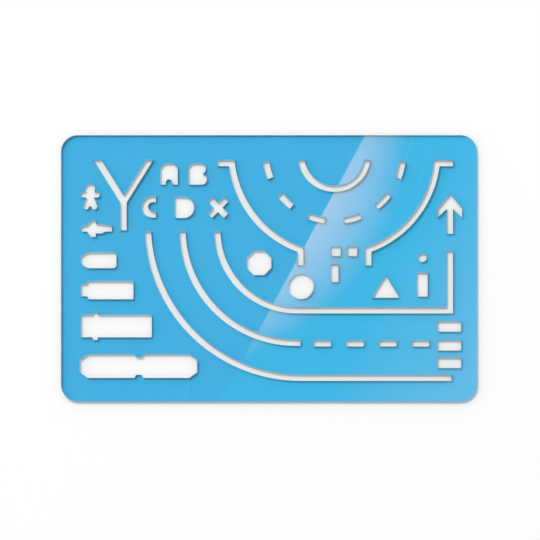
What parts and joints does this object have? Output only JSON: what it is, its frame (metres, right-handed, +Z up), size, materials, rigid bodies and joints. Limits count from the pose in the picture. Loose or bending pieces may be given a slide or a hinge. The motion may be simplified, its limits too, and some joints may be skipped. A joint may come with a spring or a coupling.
{
  "type": "road drawing template",
  "caption": "Flat see-through plastic drawing stencil with cut-outs for road lines, signs, marking letters and vehicles seen from above.",
  "frame": {"origin": "middle of the underside of the sheet, which lies on the paper", "axes": "+X along the long side, to the right of the drawing; +Y along the short side, to the top of the drawing; +Z up, out of the face that is looked at"},
  "size_m": [0.125, 0.08, 0.001],
  "materials": {
    "blue_sheet": "gloss, see-through tint"
  },
  "bodies": {
    "root": {"stencil_plate": "blue_sheet"}
  },
  "joints": []
}
